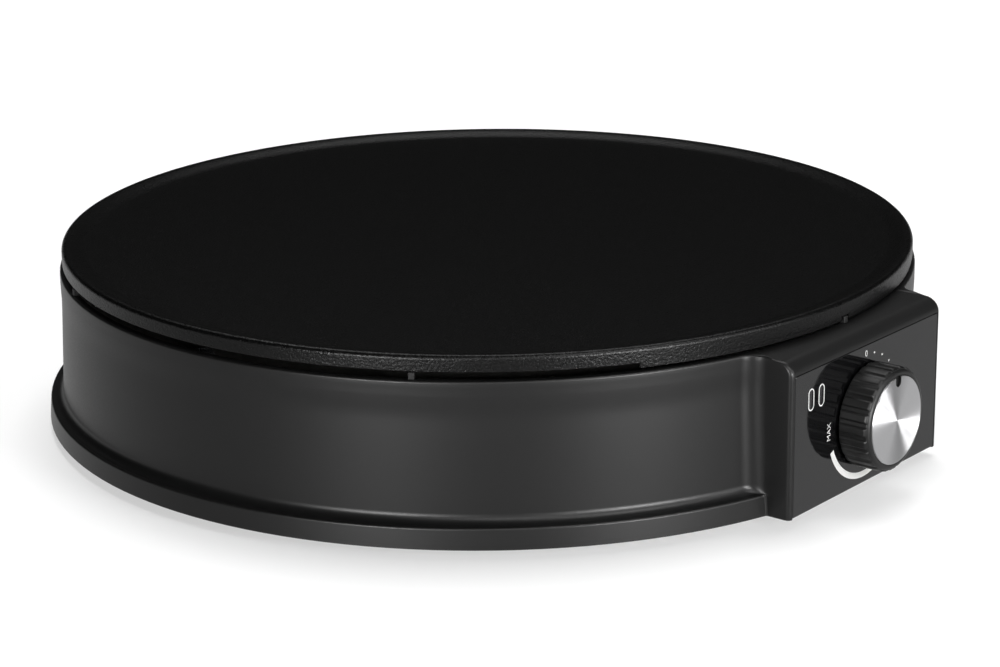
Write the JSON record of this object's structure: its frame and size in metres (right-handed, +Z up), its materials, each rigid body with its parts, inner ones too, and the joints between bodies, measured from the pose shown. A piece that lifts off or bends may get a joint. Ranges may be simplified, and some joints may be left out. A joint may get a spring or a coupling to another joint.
{
  "type": "electric crepe maker",
  "caption": "Low round countertop crepe maker: coated hot plate over a flanged housing, with a front control box, dial and indicator lamps.",
  "frame": {"origin": "on the plate's vertical axis, at the level that the rubber feet stand on", "axes": "+Z up along the plate's axis, -Y to the front, where the control box and the dial are, +X to the right seen from above with the front towards the viewer"},
  "size_m": [0.315, 0.3295, 0.0645],
  "materials": {
    "housing": "moulded heat-resistant plastic, satin charcoal black",
    "panel": "moulded plastic, polished black with a white printed scale",
    "cover": "moulded plastic, fine matt grain",
    "foot_rubber": "matt black rubber",
    "screw_steel": "zinc plated steel",
    "coated_plate": "cast plate with a black speckled non-stick coating",
    "spacer": "heat-resistant moulded blocks, dark grey",
    "pan_sheet": "aluminised steel sheet",
    "post_steel": "turned steel",
    "element_sheath": "annealed dark steel sheath",
    "ceramic": "unglazed white ceramic",
    "spring_steel": "pressed spring steel",
    "copper": "bare drawn copper",
    "fuse_body": "thermal fuse case",
    "phenolic": "brown phenolic moulding",
    "shaft_steel": "bright drawn steel",
    "knob_plastic": "moulded black plastic, ribbed, fine satin",
    "spun_disc": "spun aluminium disc with fine rings",
    "lens": "smoky clear moulded lens",
    "neon_glass": "clear glass tube",
    "nylon": "natural nylon",
    "gland": "black bush of stiff rubber",
    "clamp_plastic": "black nylon",
    "terminal_brass": "machined brass",
    "wire_brown": "brown silicone sleeve",
    "wire_black": "black silicone sleeve",
    "wire_blue": "blue silicone sleeve",
    "wire_green": "green and yellow silicone sleeve",
    "wire_white": "white silicone sleeve"
  },
  "bodies": {
    "base": {"housing_shell": "housing", "control_panel": "panel", "base_cover": "cover", "rubber_feet": "foot_rubber", "base_screws": "screw_steel", "griddle_plate": "coated_plate", "rim_spacers": "spacer", "reflector_pan": "pan_sheet", "reflector_screws": "screw_steel", "plate_posts": "post_steel", "post_screws": "screw_steel", "heating_element": "element_sheath", "element_insulators": "ceramic", "element_clips": "spring_steel", "clip_screws": "screw_steel", "sensor_bulb": "copper", "bulb_clips": "spring_steel", "capillary_tube": "copper", "thermal_fuse": "fuse_body", "fuse_clip": "spring_steel", "thermostat_body": "phenolic", "thermostat_bracket": "pan_sheet", "thermostat_screws": "screw_steel", "power_lens": "lens", "ready_lens": "lens", "neon_lamps": "neon_glass", "lamp_holder": "nylon", "lamp_holder_screw": "screw_steel", "cable_gland": "gland", "cord_clamp": "clamp_plastic", "clamp_screws": "screw_steel", "terminal_block": "ceramic", "terminal_barrels": "terminal_brass", "block_screws": "screw_steel", "earth_tag": "terminal_brass", "earth_screw": "screw_steel", "live_lead": "wire_brown", "fuse_lead": "wire_brown", "element_lead": "wire_black", "neutral_lead": "wire_blue", "earth_lead": "wire_green", "lamp_leads": "wire_white"},
    "knob": {"thermostat_shaft": "shaft_steel", "knob_body": "knob_plastic", "knob_cap": "spun_disc", "knob_spring": "spring_steel"}
  },
  "joints": [
    {"name": "knob_turn", "type": "hinge", "parent": "base", "child": "knob", "pos_m": [-0.0015, -0.1656, 0.0278], "axis": [0, 1, 0], "range_deg": [0, 270]}
  ]
}
